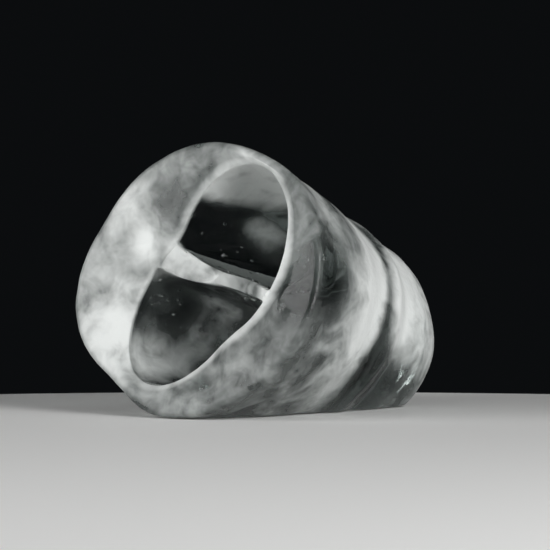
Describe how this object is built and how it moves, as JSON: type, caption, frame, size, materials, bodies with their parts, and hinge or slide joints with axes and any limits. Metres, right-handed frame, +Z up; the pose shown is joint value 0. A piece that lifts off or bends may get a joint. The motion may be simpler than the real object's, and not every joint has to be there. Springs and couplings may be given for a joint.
{
  "type": "ice block",
  "caption": "Tapered round block of clear, partly melted ice, with a hollow in two pockets in its wide end, lying on its side.",
  "frame": {"origin": "bottom centre of the block's box, on the surface it lies on", "axes": "+Z is up, +Y runs level from the hollow wide end to the closed narrow end, +X is across the block"},
  "size_m": [0.0372, 0.0438, 0.0343],
  "materials": {
    "ice": "clear wet ice, frosted white on its rim and in bands"
  },
  "bodies": {
    "root": {"ice_block": "ice"}
  },
  "joints": []
}
